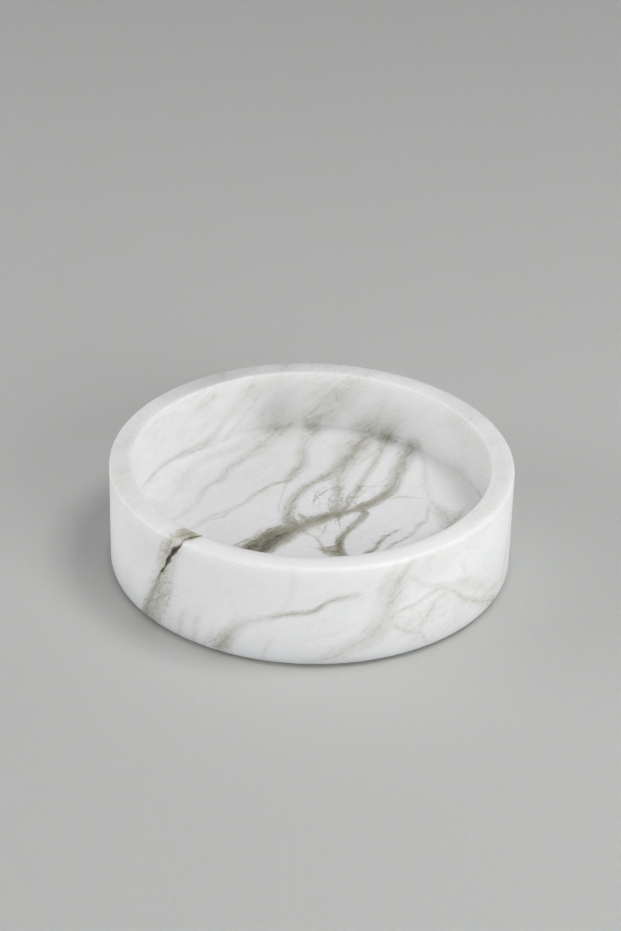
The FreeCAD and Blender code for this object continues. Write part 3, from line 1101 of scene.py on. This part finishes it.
def alabaster(material, layer_names):
    """Translucent white stone with veins, faint wisps and clouds between them, painted light and shade in
    placed clouds, and a satin polish.
    """
    tree, shader = principled(material)
    place = millimetres(tree)
    bedding = drawn_out(tree, place, STREAK)
    slow = about_zero(tree, bedding, SLOW_NOISE)
    quick = about_zero(tree, bedding, QUICK_NOISE)
    fibrous = about_zero(tree, drawn_out(tree, place, FIBRE_STREAK), FIBRE_NOISE)
    grain = about_zero(tree, place, GRAIN_NOISE)
    stain, near = veins_together(tree, layer_names, slow, quick, fibrous, grain)

    # The stone between the veins, and the placed clouds, mostly painted light and shade: whiter ones
    # lighten the stain
    clouds = ranged_noise(tree, bedding, CLOUD_NOISE, CLOUDINESS)
    streaked = linear(tree, fibrous[2], FIBRE_DARKNESS, clouds)
    specked = linear(tree, grain[1], GRAIN_DARKNESS, streaked)
    background = sums(tree, "ADD", specked, hairlines(tree, place, bedding, stain, near))
    placed = stored(tree, "clouds")
    whiter = times(tree, sums(tree, "MINIMUM", placed, 0.0), ranged(tree, stain, *WHITE_IN_STAIN))
    background = sums(tree, "ADD", whiter, background)
    shade = ranged(tree, sums(tree, "ADD", stain, background), WHITEST, DARKEST, curve="LINEAR")

    # Greyer clouds, mostly painted shade, multiply the colour instead
    stops = [((darkness - WHITEST) / (DARKEST - WHITEST), colour) for darkness, colour in STONE_COLOURS]
    greyer = {0: sums(tree, "MAXIMUM", placed, 0.0), 6: ramp(tree, shade, stops), 7: CLOUD_AND_PAINTED_SHADE_GREY}
    clouded = add(tree, "ShaderNodeMix", greyer, data_type="RGBA", blend_type="MULTIPLY")
    connect(tree, shader, {
        "Base Color": clouded.outputs[2],
        "Roughness": ranged_noise(tree, place, POLISH_NOISE, POLISH, curve="LINEAR"),
        "Subsurface Weight": 1.0,
        "Subsurface Radius": STONE_SCATTER_TINT,
        "Subsurface Scale": STONE_SCATTER,
        "IOR": STONE_IOR,
    })


def mottled(name, texture, colours):
    """A material in shades that follow a noise, with its tree, its shader and the noise."""
    material = bpy.data.materials.new(name)
    tree, shader = principled(material)
    shade = noise(tree, millimetres(tree), *texture)["Fac"]
    connect(tree, shader, {"Base Color": ramp(tree, shade, colours)})
    return material, tree, shader, shade


def clear_silicone():
    """Cloudy clear silicone, a little dusty."""
    material, tree, shader, haze = mottled("clear_silicone", SILICONE_NOISE, SILICONE_COLOURS)
    connect(tree, shader, {
        "Roughness": ranged(tree, haze, *SILICONE_SHEEN),
        "Subsurface Weight": SILICONE_CLOUDINESS,
        "Subsurface Scale": SILICONE_SCATTER,
        "IOR": SILICONE_IOR,
    })
    return material


def adhesive_film():
    """White adhesive film, with the fine mottle of pressed glue."""
    material, tree, shader, mottle = mottled("adhesive_film", FILM_NOISE, FILM_COLOURS)
    connect(tree, shader, {"Roughness": ranged(tree, mottle, *FILM_SHEEN)})
    return material


def dress_feet():
    """Gives the pads and their adhesive their finishes."""
    finishes = {"foot_pad": clear_silicone(), "adhesive_disc": adhesive_film()}
    for name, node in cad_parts.items():
        for start, finish in finishes.items():
            if name.startswith(start):
                node.data.materials.clear()
                node.data.materials.append(finish)


def painted_board():
    """The pale board that the dish stands on."""
    board = bmesh.new()
    bmesh.ops.create_grid(board, x_segments=1, y_segments=1, size=BOARD_SIZE / 2)
    material, tree, shader, _ = mottled("painted_board", BOARD_NOISE, BOARD_COLOURS)
    connect(tree, shader, {
        "Roughness": BOARD_ROUGHNESS,
        "Subsurface Weight": 1.0,
        "Subsurface Radius": BOARD_SCATTER_TINT,
        "Subsurface Scale": BOARD_SCATTER,
    })
    make_piece("painted_board", board, material)


def softbox(name, azimuth, elevation, power, size):
    """A square soft light facing the dish, placed by degrees from +X to the front and degrees up."""
    lamp = bpy.data.lights.new(name, "AREA")
    lamp.shape = "SQUARE"
    lamp.size = size
    lamp.energy = power
    light = bpy.data.objects.new(name, lamp)
    rise = math.radians(elevation)
    towards = Vector(ring_point(math.cos(rise), -azimuth, math.sin(rise)))
    light.location = SOFTBOX_AIM + towards * SOFTBOX_DISTANCE
    light.rotation_euler = towards.to_track_quat("Z", "Y").to_euler()
    bpy.context.scene.collection.objects.link(light)


def studio():
    """A key light from the right, low light from the right front and left, and an even glow."""
    world = bpy.data.worlds.new("studio")
    world.use_nodes = True
    backdrop = world.node_tree.nodes["Background"]
    connect(world.node_tree, backdrop, {"Color": WHITE, "Strength": AMBIENT})
    bpy.context.scene.world = world
    softbox("key", azimuth=6, elevation=67, power=4.0, size=0.4)
    softbox("front", azimuth=50, elevation=20, power=5.7, size=0.7)
    softbox("fill", azimuth=175, elevation=18, power=4.5, size=0.7)


def photo_camera():
    """The camera at the photograph's place."""
    lens = bpy.data.cameras.new("camera")
    lens.sensor_fit = "VERTICAL"
    lens.sensor_height = SENSOR
    lens.lens = FOCAL_PIXELS * SENSOR / PHOTO_HEIGHT
    lens.clip_start = NEAR_CLIP
    camera = bpy.data.objects.new("camera", lens)
    back = Vector((0, -math.cos(CAMERA_ELEVATION), math.sin(CAMERA_ELEVATION)))
    place = back * CAMERA_DISTANCE + Vector((0, 0, BASE))
    turn = (CAMERA_AIM - place).to_track_quat("-Z", "Y").to_matrix().to_4x4()
    camera.matrix_world = Matrix.Translation(place) @ turn @ Matrix.Rotation(CAMERA_TILT, 4, "Z")
    bpy.context.scene.collection.objects.link(camera)
    bpy.context.scene.camera = camera


bpy.context.scene.view_settings.view_transform = "Standard"
alabaster_dish()
dress_feet()
painted_board()
studio()
photo_camera()
